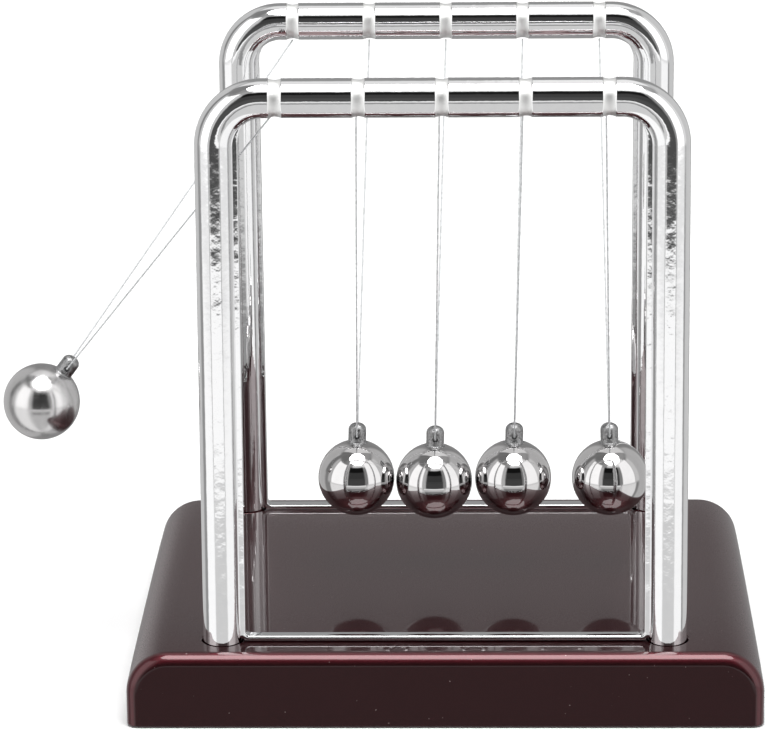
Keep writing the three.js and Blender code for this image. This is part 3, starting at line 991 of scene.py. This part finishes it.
def make_shell():
    """The hollow base moulding with its leg sockets, leg bosses and screw pillars."""
    slab = body_mesh(0.0, SHELL_LOW.z, BASE_EDGE, 0.15 * MM)
    cavity = body_mesh(BASE_WALL, SHELL_LOW.z - 2 * MM, 0.6 * MM, 0.05 * MM)
    shell = carved(slab, [cavity])
    shell = carved(shell, shell_posts(), "UNION")
    shell = carved(shell, shell_holes())
    obj = new_object("burgundy_base", shell, "base", 30)
    weigh = obj.modifiers.new("weigh", "WEIGHTED_NORMAL")
    weigh.keep_sharp = True
    weigh.weight = 100
    finished(obj, "stand", "base_gloss", "base_shell")


def rounded_plate(name, node, material, slot, corner, edge, holes=()):
    """A flat sheet with rounded corners and softened edges, in a CAD node's place."""
    low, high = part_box(node)
    half_x, half_y = high.x - corner, high.y - corner
    rings = []
    for inset, z in ((edge, low.z), (0.0, low.z + edge), (0.0, high.z - edge), (edge, high.z)):
        ring = []
        for start, x_side, y_side in ((0, 1, 1), (90, -1, 1), (180, -1, -1), (270, 1, -1)):
            centre = (x_side * half_x, y_side * half_y)
            round_corner = arc(centre, corner - inset, start, start + 90, 8)
            ring += [Vector((x, y, z)) for x, y in round_corner]
        rings.append(ring)
    mesh = lofted(name, rings)
    if holes:
        mesh = carved(mesh, holes)
    obj = new_object(name, mesh, material, 30)
    finished(obj, "stand", slot, node)


def countersink(node, low, high):
    """A cutter for a screw's hole through the plate and the recess for its head."""
    head, shank, recess = 3.1 * MM, 1.4 * MM, low + 1.3 * MM
    profile = [(0.0, low - 1 * MM), (head, low - 1 * MM), (head, recess)]
    profile += [(shank, recess), (shank, high + 1 * MM), (0.0, high + 1 * MM)]
    return moved(turned("hole", profile, 40), Matrix.Translation((*middle_of(node), 0.0)))


def make_plate():
    """The plate that closes the base from below, drilled for its screws."""
    low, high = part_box("base_plate")
    holes = [countersink(node, low.z, high.z) for node in PLATE_SCREWS]
    corner, edge = 1.0 * MM, 0.25 * MM
    rounded_plate("closing_plate", "base_plate", "plate", "base_plate", corner, edge, holes)


def make_pad():
    """The thin foam pad that the cradle stands on."""
    rounded_plate("foam_pad", "underside_pad", "foam", "foam_pad", 1.0 * MM, 0.2 * MM)


# ---- Screws ----


def screw_mesh(head_radius, head_height, shank_radius, length):
    """A pan-head screw pointing up: cross recess below, thread along its shank."""
    pitch = 0.7 * MM
    crest = shank_radius
    root = shank_radius - 0.22 * MM
    rounding = 0.5 * MM
    profile = [(0.0, 0.0), (head_radius - rounding, 0.0)]
    profile += arc((head_radius - rounding, rounding), rounding, -90, 0, 5)[1:]
    profile += [(head_radius, head_height), (root, head_height)]
    height = head_height + 0.4 * MM
    while height < length - 2 * pitch:
        profile.append((root, height))
        profile += [(crest, height + pitch * 0.4), (crest, height + pitch * 0.55)]
        height += pitch
    profile += [(root, length - pitch), (0.0, length)]
    mesh = turned("screw", profile, 40)
    slots = []
    for turn in (0.0, math.pi / 2):
        bar = bit_blade(head_radius * 1.25, 0.5 * MM, 0.6 * MM)
        slots.append(moved(bar, Matrix.Rotation(turn, 4, "Z")))
    return carved(mesh, slots)


def bit_blade(length, width, height):
    """One blade of a cross-head bit, centred on the origin and narrower at its tip."""
    points = []
    for z, share in ((-height, 1.0), (height, 0.7)):
        for x, y in ((-1, -1), (1, -1), (1, 1), (-1, 1)):
            points.append((x * length / 2 * share, y * width / 2, z))
    sides = [(0, 1, 5, 4), (1, 2, 6, 5), (2, 3, 7, 6), (3, 0, 4, 7)]
    return mesh_of("blade", points, [(0, 3, 2, 1), (4, 5, 6, 7), *sides])


def make_plate_screws():
    """The screws that hold the closing plate."""
    for number, node in enumerate(PLATE_SCREWS):
        low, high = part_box(node)
        mesh = screw_mesh(2.8 * MM, 0.8 * MM, 1.1 * MM, high.z - low.z)
        moved(mesh, Matrix.Translation((*middle_of(node), low.z)))
        obj = new_object(f"plate_fixing_{number + 1}", mesh, "screw")
        finished(obj, "stand", "screws", node)


def make_leg_screws():
    """The screws up into the frames' feet, in line with the leaning legs."""
    low = BOSS_LOW - BASE_TOP - 1.7 * MM
    for label, side in (("front", -1), ("rear", 1)):
        for name, hand in (("left", -1), ("right", 1)):
            node = f"{label}_{name}_leg_screw"
            mesh = screw_mesh(3.1 * MM, 1.4 * MM, 1.5 * MM, -3.6 * MM - low)
            moved(mesh, leaning(side) @ Matrix.Translation((hand * LEG_X, 0.0, low)))
            obj = new_object(f"{label}_{name}_leg_fixing", mesh, "screw")
            finished(obj, "stand", "screws", node)


# ---- Scene ----

make_camera()
for number in range(5):
    make_string(number)
make_world()
make_floor()
make_shell()
make_plate()
make_pad()
make_plate_screws()
make_leg_screws()
for label, side in (("front", -1), ("rear", 1)):
    make_frame(label, side)
    for number in range(5):
        make_plug(label, number)
for number in range(5):
    make_ball(number)
    make_eyelet(number)

bpy.context.scene.view_settings.view_transform = "Standard"
